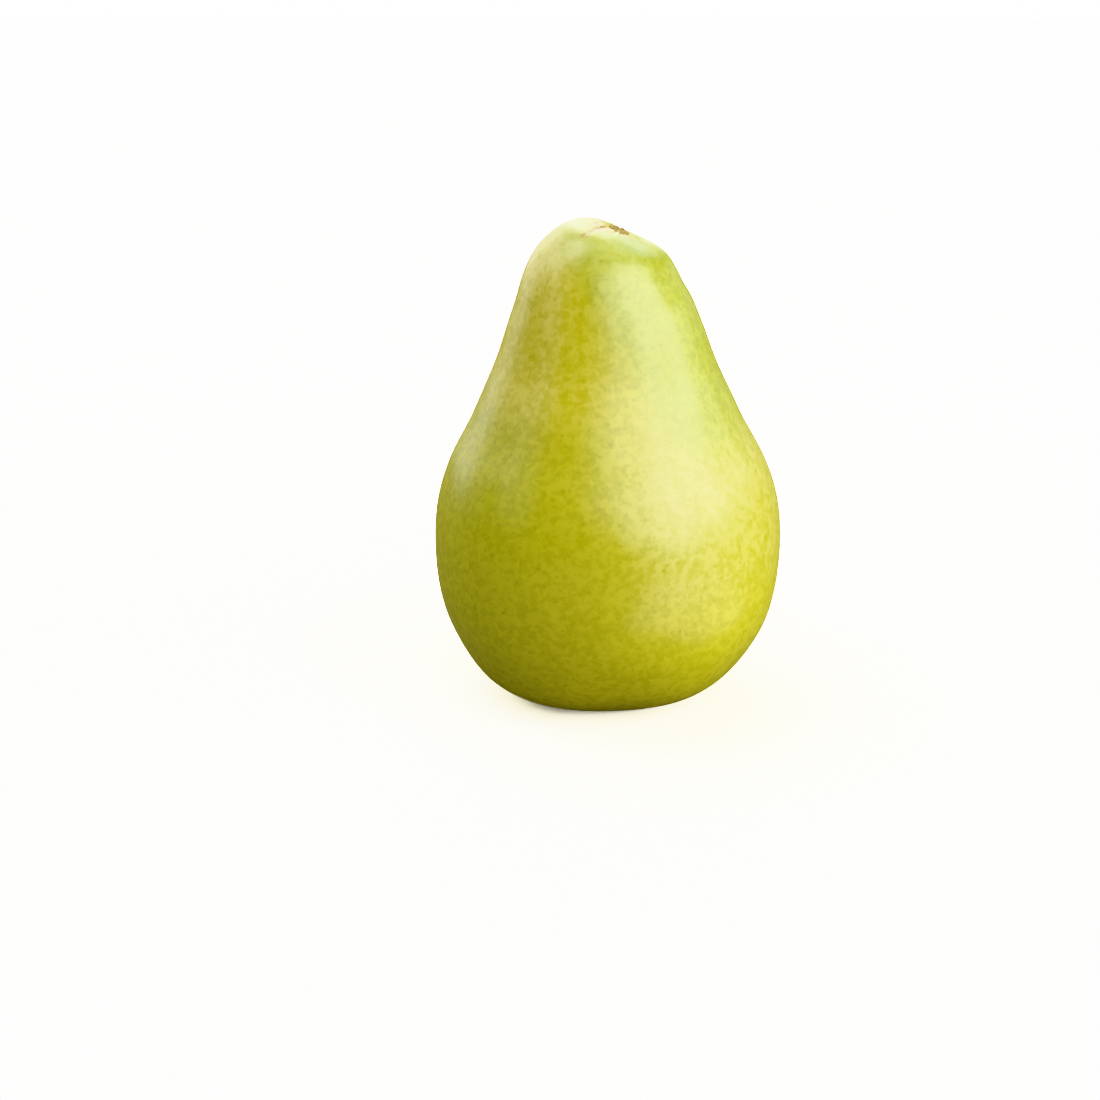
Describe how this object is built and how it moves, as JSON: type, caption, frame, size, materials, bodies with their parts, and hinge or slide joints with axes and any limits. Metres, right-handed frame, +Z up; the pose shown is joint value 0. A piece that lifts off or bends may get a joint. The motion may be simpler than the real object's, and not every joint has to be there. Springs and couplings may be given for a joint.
{
  "type": "pear",
  "caption": "Whole yellow-green pear with a round belly, a tapering neck, a broken-off stem stub and a dried calyx in a shallow basin, standing upright.",
  "frame": {"origin": "on the resting plane, on the core line of the belly, where the pear stands", "axes": "+Z up along the core from the calyx to the stem; +X towards the side that the crown nods to; -Y towards the side that the picture shows"},
  "size_m": [0.0736, 0.0735, 0.1023],
  "materials": {
    "pear_skin": null,
    "stem_wood": "matte olive-brown woody stem, broken across its fibres",
    "dried_calyx": "matte dark red-brown dried sepals and stamens"
  },
  "bodies": {
    "root": {"pear_body": "pear_skin", "stem_stub": "stem_wood", "stamen_tuft": "dried_calyx", "sepal_1": "dried_calyx", "sepal_2": "dried_calyx", "sepal_3": "dried_calyx", "sepal_4": "dried_calyx", "sepal_5": "dried_calyx"}
  },
  "joints": []
}
